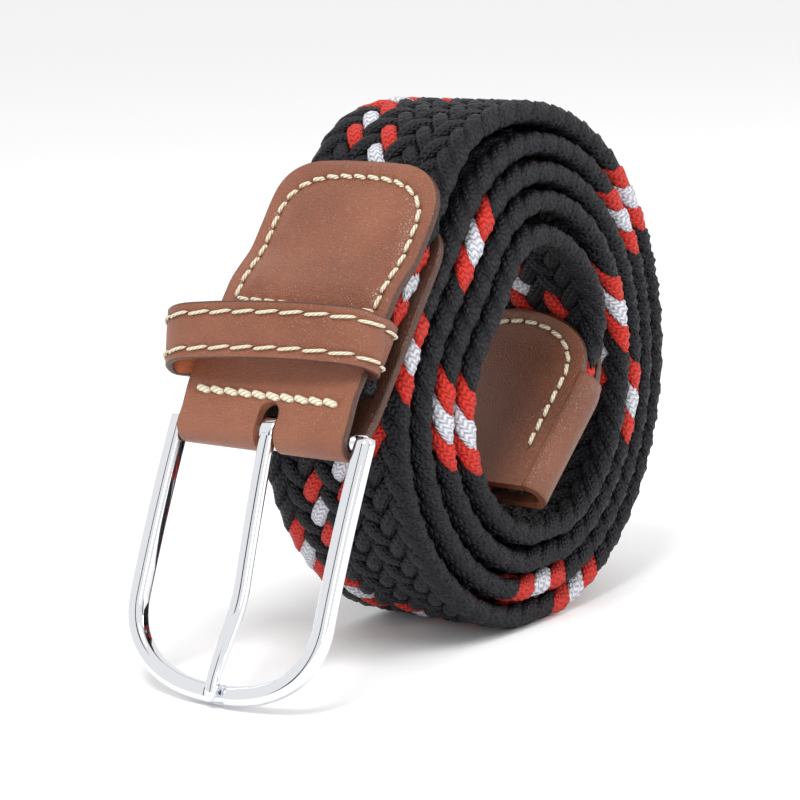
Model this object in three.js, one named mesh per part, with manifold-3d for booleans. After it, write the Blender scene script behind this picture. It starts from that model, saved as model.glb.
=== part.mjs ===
// A braided stretch belt, rolled up and standing on its rim, with its pin buckle leaning on the floor.
// Millimetres, +Z up. The roll's axis runs along Y, the belt winds in the XZ plane, and the buckle is at -X.
// The origin is on the floor, under the middle of the roll.
import * as THREE from 'three';
import { mergeVertices } from 'three/addons/utils/BufferGeometryUtils.js';
import Module from 'manifold-3d';

const wasm = await Module();
wasm.setup();

// The webbing: an elastic braid
const BAND_WIDTH = 33.2;
const BAND_THICKNESS = 4.5;
const BAND_SEWN_THICKNESS = 3.2;
const BAND_EDGE = 1.4;
const BAND_STEP = 4.2;
const SEWN_EASE = 9;

// The roll: half sizes of its outer face where the outer turn passes the top
const ROLL_HALF_X = 46.6;
const ROLL_HALF_Z = 50.6;
const TURN_GAP_X = 0.78;
const TURN_GAP_Z = 0.8;
const TELESCOPE = 0.9;
const SETTLE = 0.6;

// Where the buckle tab presses the roll in: the angle, its spread, and how much less each turn gives
const DENT_ANGLE = 310;
const DENT_WIDTH = 33;
const DENT_FADE = 0.42;
const DENT_TURN = 0.86;

// Leather: one thickness for both tabs, one for the keeper
const LEATHER = 1.6;
const TAB_WIDTH = 37.8;
const KEEPER_WALL = 1.5;
const GAP = 0.3;

// The buckle tab: a stiff chord off the upper left of the roll
const TAB_SLOPE = 53;
const TAB_SINK = 1.7;
const BAR_DROP = 35.2;
const TAB_LENGTH = 53;
const TAB_SHIFT = 1.3;
const TAB_BACK_LENGTH = 46;
const NOSE_DEPTH = 12;
const NOSE_SQUARENESS = 3.2;
const BRAID_START = 9.5;
// Clear of the fold on every side, for cutting the slot through it
const SLOT_CUT = 20;
const SLOT_WIDTH = 4.5;
const SLOT_REACH = 4.2;
const BRAID_SWELL = 1.15;
const CHORD_SHARE = 0.75;
const JOIN_ANGLE = -15;

// The keeper loop
const KEEPER_WIDTH = 10;
const KEEPER_FROM_BAR = 9.6;
const KEEPER_OPENING = 7.2;
const KEEPER_SLACK = 2.8;
const KEEPER_SKEW = 5;
const KEEPER_SWAY = 2;
const KEEPER_GAP = 0.42;
const KEEPER_ROOM = 1;
const KEEPER_LEAN = 29;
const KEEPER_DROP = 1;
const KEEPER_STEPS = 3;

// The pin buckle
const FRAME_WIDTH = 45.4;
const FRAME_SHIFT = 1.3;
const FRAME_REACH = 47.6;
const FRAME_HEEL = 1;
const FRAME_NOSE = 16.5;
const FRAME_FACE = 3.4;
const FRAME_DEPTH = 3.2;
const FRAME_BEVEL = 0.6;
const FRAME_BOW = 400;
const NOTCH_DEPTH = 0.5;
const BAR_RADIUS = 1.5;
const BAR_CLEARANCE = 0.35;
const PRONG_WIDTH = 3.1;
const PRONG_THICKNESS = 2.1;
const PRONG_RING = 1.15;
const PRONG_DIP = -0.5;
const PRONG_BEND = 28;

// The leather tip at the free end, inside the roll
// How strongly the webbing keeps its way where it leaves the tab, the roll and the knee above its tip
const LEAVE_SHARE = 0.36;
const LEAVE_ROLL = 9;
const LEAVE_KNEE = 8;
const CURVE_STEPS = 24;
const END_ANGLE = 1490;
const TIP_ROOM_ANGLE = 75;
const TIP_TAB_LENGTH = 41.5;
const TIP_NOSE_DEPTH = 16;
const TIP_NOSE_SQUARENESS = 2.1;
const TIP_FOLD_LENGTH = 27;
const TIP_OVERHANG = 1.5;
const TIP_GAP = 0.38;
const TIP_TURN_DEPTH = 19.8;
const TIP_TURN_REACH = 4.6;
const TIP_CHORD = 24.5;
const TIP_SLOPE = 222.5;

const degrees = Math.PI / 180;
const pitchX = BAND_THICKNESS + TURN_GAP_X;
const pitchZ = BAND_THICKNESS + TURN_GAP_Z;
const rollCentreZ = ROLL_HALF_Z - pitchZ / 2 - SETTLE;

// Directions of the buckle tab: along it, away from the buckle, and out of its front face
const tabAlong = { x: Math.cos(TAB_SLOPE * degrees), z: Math.sin(TAB_SLOPE * degrees) };
const tabOut = { x: -tabAlong.z, z: tabAlong.x };

// A smooth step from 0 to 1
function ease(share) {
  const t = Math.min(Math.max(share, 0), 1);
  return t * t * (3 - 2 * t);
}

// How far an ellipse reaches along the tab's outward direction
function reach(halfX, halfZ) {
  return Math.hypot(halfX * tabOut.x, halfZ * tabOut.z);
}

// The tab's layers, as distances along tabOut from the bar's centre
const foldRadius = BAR_RADIUS + BAR_CLEARANCE + LEATHER / 2;
const frontMiddle = foldRadius + BRAID_SWELL;
const keeperBack = frontMiddle - LEATHER / 2 - GAP - KEEPER_WALL / 2;
const braidMiddle = keeperBack - KEEPER_WALL / 2 - KEEPER_GAP - BAND_SEWN_THICKNESS / 2;
const backMiddle = braidMiddle - BAND_SEWN_THICKNESS / 2 - GAP - LEATHER / 2;
const tabFace = reach(ROLL_HALF_X, ROLL_HALF_Z) - TAB_SINK;
const barDistance = tabFace - frontMiddle - LEATHER / 2;
const bar = {
  x: tabOut.x * barDistance - tabAlong.x * BAR_DROP,
  z: rollCentreZ + tabOut.z * barDistance - tabAlong.z * BAR_DROP,
};

// The tab presses the turns under it flat, this deep
const underTab = barDistance + backMiddle - LEATHER / 2 - 2 * GAP;
const dentDepth = reach(ROLL_HALF_X - pitchX * DENT_TURN, ROLL_HALF_Z - pitchZ * DENT_TURN) - underTab;

function pressed(angle) {
  if (angle < 180) {
    return 0;
  }
  const turn = Math.floor((angle - DENT_ANGLE + 180) / 360);
  const away = (angle - DENT_ANGLE - 360 * turn) / DENT_WIDTH;
  return Math.max(0, dentDepth - DENT_FADE * turn) * Math.exp(-away * away);
}

// The last stretch draws inwards, to leave room for the leather tip between it and the turn outside it
function tipRoom(angle) {
  return (LEATHER + GAP) * ease((angle - END_ANGLE + TIP_ROOM_ANGLE) / TIP_ROOM_ANGLE * 1.25);
}

// A point on the webbing's middle line in the roll. The angle runs clockwise from the top, seen from the front
function rollPoint(angle) {
  const turns = angle / 360;
  const inward = BAND_THICKNESS / 2 + pressed(angle) + tipRoom(angle);
  const x = (ROLL_HALF_X - pitchX * turns - inward) * Math.sin(angle * degrees);
  const z = (ROLL_HALF_Z - pitchZ * turns - inward) * Math.cos(angle * degrees);
  const bottomTurn = Math.round((angle - 180) / 360);
  const floor = BAND_THICKNESS / 2 + pitchZ * bottomTurn;
  return { x, z: Math.max(rollCentreZ + z, floor) };
}

function onTab(along, out) {
  return {
    x: bar.x + tabAlong.x * along + tabOut.x * out,
    z: bar.z + tabAlong.z * along + tabOut.z * out,
  };
}

function towards(from, to, share) {
  return { x: from.x + (to.x - from.x) * share, z: from.z + (to.z - from.z) * share };
}

function bezier(a, b, c, d, t) {
  const ab = towards(a, b, t);
  const bc = towards(b, c, t);
  const cd = towards(c, d, t);
  return towards(towards(ab, bc, t), towards(bc, cd, t), t);
}

function direction(from, to) {
  const length = Math.hypot(to.x - from.x, to.z - from.z);
  return { x: (to.x - from.x) / length, z: (to.z - from.z) / length };
}

function moved(point, way, distance) {
  return { x: point.x + way.x * distance, z: point.z + way.z * distance };
}

// The webbing's whole middle line, from the buckle to its end in the roll
function beltLine() {
  const points = [];
  const add = (point, turns) => points.push({ ...point, turns });
  const straightEnd = TAB_LENGTH * CHORD_SHARE;
  for (let along = BRAID_START; along < straightEnd; along += 1) {
    add(onTab(along, braidMiddle), 0);
  }
  const leave = onTab(straightEnd, braidMiddle);
  const join = rollPoint(JOIN_ANGLE);
  const joinWay = direction(join, rollPoint(JOIN_ANGLE + 1));
  const handle = Math.hypot(join.x - leave.x, join.z - leave.z) * LEAVE_SHARE;
  for (let i = 0; i < CURVE_STEPS; i += 1) {
    const share = i / CURVE_STEPS;
    add(bezier(leave, moved(leave, tabAlong, handle), moved(join, joinWay, -handle), join, share), 0);
  }
  for (let angle = JOIN_ANGLE; angle < END_ANGLE; angle += 1) {
    add(rollPoint(angle), Math.max(0, angle / 360));
  }
  const last = rollPoint(END_ANGLE);
  const lastWay = direction(rollPoint(END_ANGLE - 1), last);
  const tipWay = { x: Math.cos(TIP_SLOPE * degrees), z: Math.sin(TIP_SLOPE * degrees) };
  const knee = { x: last.x - TIP_TURN_REACH, z: last.z - TIP_TURN_DEPTH };
  for (let i = 0; i < CURVE_STEPS; i += 1) {
    const rollHandle = moved(last, lastWay, LEAVE_ROLL);
    const kneeHandle = moved(knee, tipWay, -LEAVE_KNEE);
    add(bezier(last, rollHandle, kneeHandle, knee, i / CURVE_STEPS), END_ANGLE / 360);
  }
  for (let along = 0; along <= TIP_CHORD; along += 1) {
    add(moved(knee, tipWay, along), END_ANGLE / 360);
  }
  return points;
}

const line = beltLine();
const lineLength = [0];
for (let i = 1; i < line.length; i += 1) {
  const step = Math.hypot(line[i].x - line[i - 1].x, line[i].z - line[i - 1].z);
  lineLength.push(lineLength[i - 1] + step);
}
const bandLength = lineLength[line.length - 1];

// Where the line is, and which way it faces, at a distance from its buckle end. It runs straight on past its ends
function lineAt(distance) {
  let i = 1;
  while (i < line.length - 1 && lineLength[i] < distance) {
    i += 1;
  }
  const a = line[i - 1];
  const b = line[i];
  const share = (distance - lineLength[i - 1]) / (lineLength[i] - lineLength[i - 1]);
  const place = towards(a, b, share);
  const before = line[Math.max(0, i - 2)];
  const after = line[Math.min(line.length - 1, i + 1)];
  const way = direction(before, after);
  const turns = a.turns + (b.turns - a.turns) * Math.min(Math.max(share, 0), 1);
  return { ...place, way, out: { x: -way.z, z: way.x }, y: -TELESCOPE * turns };
}

function solid(geometry) {
  const bare = geometry.index ? geometry.toNonIndexed() : geometry.clone();
  bare.deleteAttribute('normal');
  bare.deleteAttribute('uv');
  const merged = mergeVertices(bare, 1e-4);
  return new wasm.Manifold(new wasm.Mesh({
    numProp: 3,
    vertProperties: new Float32Array(merged.attributes.position.array),
    triVerts: new Uint32Array(merged.index.array),
  }));
}

function geometryOf(body) {
  const mesh = body.getMesh();
  const geometry = new THREE.BufferGeometry();
  geometry.setAttribute('position', new THREE.Float32BufferAttribute(mesh.vertProperties, 3));
  geometry.setIndex(new THREE.Uint32BufferAttribute(mesh.triVerts, 1));
  return geometry;
}

// A mesh from its points and triangles, turned to face outwards
function meshOf(positions, indices) {
  let volume = 0;
  const at = (i) => new THREE.Vector3().fromArray(positions, i * 3);
  for (let i = 0; i < indices.length; i += 3) {
    volume += at(indices[i]).dot(at(indices[i + 1]).cross(at(indices[i + 2])));
  }
  const geometry = new THREE.BufferGeometry();
  geometry.setAttribute('position', new THREE.Float32BufferAttribute(positions, 3));
  geometry.setIndex(volume < 0 ? [...indices].reverse() : indices);
  return geometry;
}

// A closed solid through equal rings of points, with both ends closed
function loft(rings) {
  const positions = [];
  const indices = [];
  const count = rings[0].length;
  rings.forEach((ring) => ring.forEach((p) => positions.push(p[0], p[1], p[2])));
  for (let i = 0; i < rings.length - 1; i += 1) {
    for (let j = 0; j < count; j += 1) {
      const a = i * count + j;
      const b = i * count + (j + 1) % count;
      indices.push(a, b, b + count, a, b + count, a + count);
    }
  }
  const far = (rings.length - 1) * count;
  for (let j = 1; j < count - 1; j += 1) {
    indices.push(0, j + 1, j);
    indices.push(far, far + j, far + j + 1);
  }
  return meshOf(positions, indices);
}

// A section point placed at a station: across is along Y, out is away from the roll's middle
function placed(station, across, out) {
  return [station.x + station.out.x * out, station.y + across, station.z + station.out.z * out];
}

// Evenly spaced distances from one end to the other
function distances(from, to, step) {
  const count = Math.max(2, Math.round((to - from) / step));
  return Array.from({ length: count + 1 }, (_, i) => from + (to - from) * i / count);
}

// Thinner where it is sewn between leather
function bandThickness(distance) {
  const sewnStart = TAB_LENGTH - BRAID_START;
  const sewnEnd = bandLength - TIP_TAB_LENGTH + TIP_OVERHANG;
  const loose = Math.min(
    ease((distance - sewnStart + SEWN_EASE) / SEWN_EASE),
    ease((sewnEnd + SEWN_EASE - distance) / SEWN_EASE),
  );
  return BAND_SEWN_THICKNESS + (BAND_THICKNESS - BAND_SEWN_THICKNESS) * loose;
}

function bandRing(distance) {
  const station = lineAt(distance);
  const h = bandThickness(distance) / 2;
  const w = BAND_WIDTH / 2;
  const c = Math.min(BAND_EDGE, h * 0.8);
  const outline = [[w, -h + c], [w, h - c], [w - c, h], [c - w, h], [-w, h - c], [-w, c - h], [c - w, -h], [w - c, -h]];
  return outline.map(([across, out]) => placed(station, across, out));
}

function braidedBand() {
  const tip = bandLength - TIP_TAB_LENGTH;
  const stations = [...distances(0, tip, BAND_STEP), ...distances(tip, bandLength, BAND_STEP / 2).slice(1)];
  return loft(stations.map(bandRing));
}

// Half the width of a leather lobe at a distance from its rounded end
function lobeHalfWidth(fromEnd, halfWidth, depth, squareness) {
  if (fromEnd >= depth) {
    return halfWidth;
  }
  const share = 1 - Math.max(fromEnd, 0) / depth;
  return halfWidth * Math.max(0.15, (1 - share ** squareness) ** (1 / squareness));
}

function leatherRing(station, low, high, inner, outer) {
  return [[high, inner], [high, outer], [low, outer], [low, inner]].map(([a, o]) => placed(station, a, o));
}

// Distances for a lobe: fine over its rounded end
function lobeDistances(end, roundEnd, straightEnd) {
  const curved = [0, 0.04, 0.14, 0.3, 0.5, 0.75].map((share) => end + (roundEnd - end) * share);
  return [...curved, ...distances(roundEnd, straightEnd, 4)];
}

// How far the layers' middles lie from the webbing's middle line
function backOffset(distance) {
  return -(bandThickness(distance) / 2 + GAP + LEATHER / 2);
}

// The front layer leaves room for the keeper's back run, then closes on the webbing
function frontOffset(distance) {
  const past = (distance + BRAID_START - KEEPER_FROM_BAR - KEEPER_WIDTH - 3 * KEEPER_SWAY) / KEEPER_WIDTH;
  return -backOffset(distance) + (KEEPER_WALL + KEEPER_GAP) * (1 - ease(past));
}

// One layer of the folded strip, from its rounded end down to the bar
function tabLayer(side, length, offset, middle) {
  const end = length - BRAID_START;
  const layer = lobeDistances(end, end - NOSE_DEPTH, 12 - BRAID_START).map((distance) => {
    const station = lineAt(distance);
    return { ...moved(station, station.out, offset(distance)), fromEnd: end - distance };
  });
  [10, 8, 6, 4, 2].forEach((along) => {
    const out = side * foldRadius + (middle - side * foldRadius) * ease(along / (KEEPER_FROM_BAR - KEEPER_SWAY));
    layer.push({ ...onTab(along, out), fromEnd: length - along });
  });
  return layer;
}

// The whole strip, from the front nose down round the bar and up to the back nose
function tabStations() {
  const front = tabLayer(1, TAB_LENGTH, frontOffset, frontMiddle);
  const back = tabLayer(-1, TAB_BACK_LENGTH, backOffset, backMiddle);
  const fold = Array.from({ length: 11 }, (_, i) => {
    const turn = Math.PI * i / 10;
    const place = onTab(-Math.sin(turn) * foldRadius, Math.cos(turn) * foldRadius);
    return { ...place, fromEnd: TAB_LENGTH };
  });
  const stations = [...front, ...fold, ...back.reverse()];
  return stations.map((s, i) => {
    const way = direction(stations[Math.max(0, i - 1)], stations[Math.min(stations.length - 1, i + 1)]);
    return { ...s, y: TAB_SHIFT, out: { x: way.z, z: -way.x } };
  });
}

function buckleTab() {
  const rings = tabStations().map((station) => {
    const half = lobeHalfWidth(station.fromEnd, TAB_WIDTH / 2, NOSE_DEPTH, NOSE_SQUARENESS);
    return leatherRing(station, -half, half, -LEATHER / 2, LEATHER / 2).reverse();
  });
  const slot = new THREE.Shape();
  slot.moveTo(-SLOT_WIDTH / 2, -SLOT_CUT);
  slot.lineTo(SLOT_WIDTH / 2, -SLOT_CUT);
  slot.lineTo(SLOT_WIDTH / 2, SLOT_REACH - SLOT_WIDTH / 2);
  slot.absarc(0, SLOT_REACH - SLOT_WIDTH / 2, SLOT_WIDTH / 2, 0, Math.PI, false);
  const cutter = new THREE.ExtrudeGeometry(slot, { depth: 2 * SLOT_CUT, bevelEnabled: false, curveSegments: 8 });
  cutter.translate(0, 0, -SLOT_CUT);
  // Shape x lies across the belt, y along the tab, and the depth runs through both layers
  cutter.applyMatrix4(new THREE.Matrix4().makeBasis(
    new THREE.Vector3(0, -1, 0),
    new THREE.Vector3(tabAlong.x, 0, tabAlong.z),
    new THREE.Vector3(tabOut.x, 0, tabOut.z),
  ));
  cutter.translate(bar.x, 0, bar.z);
  return geometryOf(solid(loft(rings)).subtract(solid(cutter)));
}

// The keeper's middle line round the front layer: it hugs the front edge of the belt and hangs loose at the other.
// Each row is across the belt and out from the back run
function keeperLine() {
  const half = TAB_WIDTH / 2;
  const turn = GAP + KEEPER_WALL / 2;
  const near = half + turn + KEEPER_ROOM;
  const far = half + turn + KEEPER_SLACK;
  const rise = LEATHER + GAP + KEEPER_OPENING + KEEPER_WALL;
  const rows = [
    [0, 0],
    [half * 0.6, 0],
    [half, 0],
    [half + turn * 0.7, turn * 0.3],
    [far - 1.8, rise * 0.16],
    [far, rise * 0.42],
    [far - 0.9, rise * 0.72],
    [far - 4.2, rise * 0.92],
    [half * 0.6, rise],
    [0, rise],
    [-half * 0.6, rise * 0.9],
    [1.2 - near, rise * 0.68],
    [-near, rise * 0.4],
    [-half - turn * 1.1, turn * 1.3],
    [-half - turn * 0.7, turn * 0.3],
    [-half, 0],
    [-half * 0.6, 0],
  ];
  const points = rows.map(([across, out]) => new THREE.Vector3(across, out, 0));
  const curve = new THREE.CatmullRomCurve3(points, true, 'centripetal');
  return curve.getPoints(rows.length * KEEPER_STEPS).slice(0, -1);
}

// Its width follows the tab at the back and leans over at the front, where the loop hangs
function keeper() {
  const points = keeperLine();
  const skew = Math.tan(KEEPER_SKEW * degrees);
  const rise = LEATHER + GAP + KEEPER_OPENING + KEEPER_WALL;
  const rings = points.map((point, i) => {
    const before = points[(i + points.length - 1) % points.length];
    const after = points[(i + 1) % points.length];
    const way = after.clone().sub(before).normalize();
    const hang = ease(point.y / rise * 1.8);
    const lean = KEEPER_LEAN * degrees * hang;
    const drop = KEEPER_DROP * hang;
    const corner = (side, edge) => {
      const across = point.x - side * way.y * KEEPER_WALL / 2;
      const wall = side * way.x * KEEPER_WALL / 2;
      const out = point.y + wall * Math.cos(lean) + edge * Math.sin(lean);
      const along = edge * Math.cos(lean) - wall * Math.sin(lean) - drop - across * skew;
      const place = onTab(KEEPER_FROM_BAR + KEEPER_WIDTH / 2 + along, keeperBack + out);
      return [place.x, TAB_SHIFT + across, place.z];
    };
    const half = KEEPER_WIDTH / 2;
    return [corner(-1, -half), corner(1, -half), corner(1, half), corner(-1, half)];
  });
  const count = rings.length * 4;
  const indices = [];
  rings.forEach((ring, i) => ring.forEach((corner, j) => {
    const a = i * 4 + j;
    const b = i * 4 + (j + 1) % 4;
    indices.push(a, b, (b + 4) % count, a, (b + 4) % count, (a + 4) % count);
  }));
  return meshOf(rings.flat(2), indices);
}

// The tip: one leather folded round the webbing's front edge, with two rounded lobes
function tipLobe(side) {
  const end = bandLength + TIP_OVERHANG;
  const nose = end - TIP_TAB_LENGTH;
  const rings = lobeDistances(nose, nose + TIP_NOSE_DEPTH, end).map((distance) => {
    const station = lineAt(distance);
    const half = lobeHalfWidth(distance - nose, BAND_WIDTH / 2, TIP_NOSE_DEPTH, TIP_NOSE_SQUARENESS);
    const middle = side * (bandThickness(distance) / 2 + TIP_GAP + LEATHER / 2);
    return leatherRing(station, -half, half, middle - LEATHER / 2, middle + LEATHER / 2);
  });
  return solid(loft(rings));
}

// The fold that joins the two lobes round the webbing's front edge
function tipFold() {
  const end = bandLength + TIP_OVERHANG;
  const inner = BAND_SEWN_THICKNESS / 2 + TIP_GAP;
  const outer = inner + LEATHER;
  const rings = distances(end - TIP_FOLD_LENGTH, end, 3).map((distance) => {
    const station = lineAt(distance);
    const edge = -BAND_WIDTH / 2;
    const arc = (radius, i) => [edge - radius * Math.sin(Math.PI * i / 8), radius * Math.cos(Math.PI * i / 8)];
    const outside = Array.from({ length: 9 }, (_, i) => arc(outer, i));
    const inside = Array.from({ length: 9 }, (_, i) => arc(inner, 8 - i));
    const lap = 1;
    const outline = [[edge + lap, outer], ...outside, [edge + lap, -outer], [edge + lap, -inner], ...inside, [edge + lap, inner]];
    return outline.map(([across, out]) => placed(station, across, out));
  });
  return solid(loftOpenSection(rings));
}

// A loft of a C-shaped section: the end caps are strips between its outer and inner halves
function loftOpenSection(rings) {
  const count = rings[0].length;
  const positions = rings.flat(2);
  const indices = [];
  for (let i = 0; i < rings.length - 1; i += 1) {
    for (let j = 0; j < count; j += 1) {
      const a = i * count + j;
      const b = i * count + (j + 1) % count;
      indices.push(a, b, b + count, a, b + count, a + count);
    }
  }
  const far = (rings.length - 1) * count;
  for (let j = 0; j < count / 2 - 1; j += 1) {
    const a = j;
    const b = j + 1;
    const c = count - 2 - j;
    const d = count - 1 - j;
    indices.push(a, c, b, a, d, c);
    indices.push(far + a, far + b, far + c, far + a, far + c, far + d);
  }
  return meshOf(positions, indices);
}

function tipTab() {
  return geometryOf(tipLobe(1).add(tipLobe(-1)).add(tipFold()));
}

// The buckle is made flat, its length along X from the bar and its face towards +Z, and is bent to its bow
function bowed(geometry, lean) {
  const position = geometry.attributes.position;
  for (let i = 0; i < position.count; i += 1) {
    const along = position.getX(i) / FRAME_BOW;
    const middle = lean + along / 2;
    const normal = lean + along;
    const chord = along === 0 ? 0 : 2 * FRAME_BOW * Math.sin(along / 2);
    const out = position.getZ(i);
    const x = bar.x - chord * Math.cos(middle) - out * Math.sin(normal);
    const z = bar.z - chord * Math.sin(middle) + out * Math.cos(normal);
    position.setXYZ(i, x, -position.getY(i), z);
  }
  return geometry;
}

function lowest(geometry) {
  geometry.computeBoundingBox();
  return geometry.boundingBox.min.z;
}

// The lean at which the buckle's nose just reaches the floor
function leanToFloor(makeFlat) {
  let steep = 85 * degrees;
  let shallow = 40 * degrees;
  for (let i = 0; i < 30; i += 1) {
    const middle = (steep + shallow) / 2;
    if (lowest(bowed(makeFlat(), middle)) < 0) {
      steep = middle;
    } else {
      shallow = middle;
    }
  }
  return shallow;
}

// One side of the frame's outline, from the heel to the middle of the nose
function frameOutline(inset) {
  const half = FRAME_WIDTH / 2 - inset;
  const far = FRAME_REACH - inset;
  const start = FRAME_REACH - FRAME_NOSE;
  const points = [];
  distances(-FRAME_HEEL, start, 5).forEach((along) => points.push([along, half]));
  for (let i = 1; i <= 14; i += 1) {
    const turn = Math.PI / 2 * i / 14;
    const across = half * Math.cos(turn) ** 0.87;
    points.push([start + (far - start) * Math.sin(turn) ** 0.87, i === 14 ? 0 : across]);
  }
  return points;
}

function frameFlat() {
  const size = FRAME_BEVEL;
  const outer = frameOutline(size);
  const inner = frameOutline(FRAME_FACE - size);
  const mirror = (points) => points.slice(0, -1).reverse().map(([a, b]) => [a, -b]);
  const outline = [...outer, ...mirror(outer), ...inner.map(([a, b]) => [a, -b]), ...mirror(inner).map(([a, b]) => [a, -b])];
  const shape = new THREE.Shape(outline.map(([a, b]) => new THREE.Vector2(a, b)));
  const depth = FRAME_DEPTH - 2 * size;
  const bevel = { depth, bevelEnabled: true, bevelSegments: 1, bevelThickness: size, bevelSize: size };
  const rim = new THREE.ExtrudeGeometry(shape, bevel);
  rim.translate(0, 0, -depth / 2);
  const heel = new THREE.CylinderGeometry(BAR_RADIUS, BAR_RADIUS, FRAME_WIDTH - FRAME_FACE, 20);
  // A shallow seat for the prong's tip across the nose
  const seat = new THREE.BoxGeometry(FRAME_FACE * 3, PRONG_WIDTH + 2 * GAP, 2 * NOTCH_DEPTH);
  seat.translate(FRAME_REACH - FRAME_FACE / 2, FRAME_SHIFT, FRAME_DEPTH / 2);
  const frame = geometryOf(solid(rim).add(solid(heel)).subtract(solid(seat)));
  frame.translate(0, -FRAME_SHIFT, 0);
  return frame;
}

// The prong's side view: how far along the frame and how far out of its face its middle lies
function prongMiddle() {
  const seat = FRAME_DEPTH / 2 - NOTCH_DEPTH + GAP + PRONG_THICKNESS / 2;
  const root = BAR_RADIUS + BAR_CLEARANCE + PRONG_RING - PRONG_THICKNESS / 2;
  const tip = FRAME_REACH - 0.6;
  const rest = FRAME_REACH - FRAME_FACE - 0.4;
  return [
    [0, root],
    [4, root + (PRONG_DIP - root) * 0.12],
    [PRONG_BEND * 0.5, root + (PRONG_DIP - root) * 0.5],
    [PRONG_BEND, PRONG_DIP],
    [PRONG_BEND + 3, PRONG_DIP + 0.15],
    [rest, seat],
    [tip, seat - 0.1],
  ];
}

function prongFlat() {
  const middle = prongMiddle();
  const top = middle.map(([a, o], i) => [a, o + PRONG_THICKNESS / 2 * (i === middle.length - 1 ? 0.5 : 1)]);
  const under = middle.map(([a, o], i) => [a, o - PRONG_THICKNESS / 2 * (i === middle.length - 1 ? 0.5 : 1)]);
  const shape = new THREE.Shape([...under, ...top.reverse()].map(([a, o]) => new THREE.Vector2(a, o)));
  const shank = new THREE.ExtrudeGeometry(shape, { depth: PRONG_WIDTH, bevelEnabled: false });
  const ringShape = new THREE.Shape();
  ringShape.absarc(0, 0, BAR_RADIUS + BAR_CLEARANCE + PRONG_RING, 0, 2 * Math.PI, false);
  const ring = new THREE.ExtrudeGeometry(ringShape, { depth: PRONG_WIDTH, bevelEnabled: false, curveSegments: 20 });
  const bore = new THREE.CylinderGeometry(BAR_RADIUS + BAR_CLEARANCE, BAR_RADIUS + BAR_CLEARANCE, PRONG_WIDTH * 3, 20);
  bore.rotateX(Math.PI / 2);
  const body = solid(shank).add(solid(ring)).subtract(solid(bore));
  const geometry = geometryOf(body);
  geometry.translate(0, 0, -PRONG_WIDTH / 2);
  // The side view's Y becomes the way out of the face, and its depth lies across
  geometry.rotateX(Math.PI / 2);
  return geometry;
}

const leather = { color: 0x96593b, roughness: 0.5, metalness: 0 };
const finishes = {
  braid: new THREE.MeshStandardMaterial({ color: 0x151a26, roughness: 0.85, metalness: 0 }),
  leather: new THREE.MeshStandardMaterial(leather),
  tipLeather: new THREE.MeshStandardMaterial({ ...leather, color: 0x7c4429 }),
  polished: new THREE.MeshStandardMaterial({ color: 0xdfe2e6, roughness: 0.12, metalness: 1 }),
};

function named(name, geometry, finish) {
  const mesh = new THREE.Mesh(geometry, finish);
  mesh.name = name;
  return mesh;
}

const lean = leanToFloor(frameFlat);
const belt = new THREE.Group();
belt.add(
  named('braided_band', braidedBand(), finishes.braid),
  named('buckle_tab', buckleTab(), finishes.leather),
  named('keeper_loop', keeper(), finishes.leather),
  named('tip_tab', tipTab(), finishes.tipLeather),
  named('buckle_frame', bowed(frameFlat(), lean), finishes.polished),
  named('prong', bowed(prongFlat(), lean), finishes.polished),
);

export default belt;
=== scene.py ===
"""The looks of a braided stretch belt, rolled up, with leather ends and a pin buckle."""

import math

import bmesh
import bpy
import numpy as np
from mathutils import Matrix, Vector


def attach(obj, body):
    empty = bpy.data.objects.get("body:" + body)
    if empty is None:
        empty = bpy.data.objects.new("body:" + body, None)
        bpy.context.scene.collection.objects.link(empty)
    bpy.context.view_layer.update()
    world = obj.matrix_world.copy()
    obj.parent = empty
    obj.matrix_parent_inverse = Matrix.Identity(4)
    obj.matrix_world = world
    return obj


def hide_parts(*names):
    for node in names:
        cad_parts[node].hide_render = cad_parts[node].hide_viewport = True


bl_info = {
    "name": "Rolled stretch belt",
    "version": (1, 0, 0),
    "blender": (4, 5, 0),
    "location": "View3D > Sidebar > Belt",
    "description": "Braid, leather, stitches and a pin buckle for a rolled stretch belt",
    "category": "Add Mesh",
}

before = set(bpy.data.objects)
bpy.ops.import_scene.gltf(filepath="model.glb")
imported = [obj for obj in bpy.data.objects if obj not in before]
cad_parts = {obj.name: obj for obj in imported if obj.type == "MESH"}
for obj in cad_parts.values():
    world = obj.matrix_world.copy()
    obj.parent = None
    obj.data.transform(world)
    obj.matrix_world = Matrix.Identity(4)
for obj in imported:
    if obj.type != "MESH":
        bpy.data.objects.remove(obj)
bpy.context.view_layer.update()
MM = 0.001

# The part's own sizes, in millimetres
BAND_WIDTH = 33.2
BAND_THICKNESS = 4.5
BAND_SEWN_THICKNESS = 3.2
SEWN_EASE = 9
ROLL_HALF_X = 46.6
ROLL_HALF_Z = 50.6
TURN_GAP_X = 0.78
TURN_GAP_Z = 0.8
TELESCOPE = 0.9
SETTLE = 0.6
DENT_ANGLE = 310
DENT_WIDTH = 33
DENT_FADE = 0.42
DENT_TURN = 0.86
LEATHER = 1.6
TAB_WIDTH = 37.8
KEEPER_WALL = 1.5
GAP = 0.3
TAB_SLOPE = 53
TAB_SINK = 1.7
BAR_DROP = 35.2
TAB_LENGTH = 53
TAB_SHIFT = 1.3
TAB_BACK_LENGTH = 46
NOSE_DEPTH = 12
NOSE_SQUARENESS = 3.2
BRAID_START = 9.5
SLOT_WIDTH = 4.5
SLOT_REACH = 4.2
BRAID_SWELL = 1.15
CHORD_SHARE = 0.75
JOIN_ANGLE = -15
KEEPER_WIDTH = 10
KEEPER_FROM_BAR = 9.6
KEEPER_OPENING = 7.2
KEEPER_SLACK = 2.8
KEEPER_SKEW = 5
KEEPER_SWAY = 2
KEEPER_GAP = 0.42
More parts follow.
